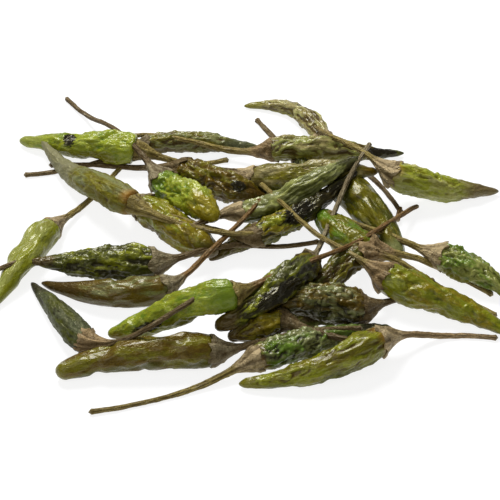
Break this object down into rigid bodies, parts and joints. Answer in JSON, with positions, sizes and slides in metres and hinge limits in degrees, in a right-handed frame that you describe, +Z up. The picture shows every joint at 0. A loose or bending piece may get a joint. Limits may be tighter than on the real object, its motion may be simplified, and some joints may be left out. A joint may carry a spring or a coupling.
{
  "type": "loose heap of half-dried green chillies",
  "caption": "Loose open heap of half-dried green chillies with long thin stalks, crossing in two or three layers, at table size.",
  "frame": {"origin": "under the middle of the heap, on the surface it lies on", "axes": "+X along the heap's longest side, +Z up, the heap's front faces -Y"},
  "size_m": [0.1679, 0.1522, 0.0218],
  "materials": {
    "skin": "wrinkled, half glossy, green to olive brown with near-black patches",
    "stalk": "dry, fibrous, matt"
  },
  "bodies": {
    "root": {"chilli_heap": "skin"}
  },
  "joints": []
}
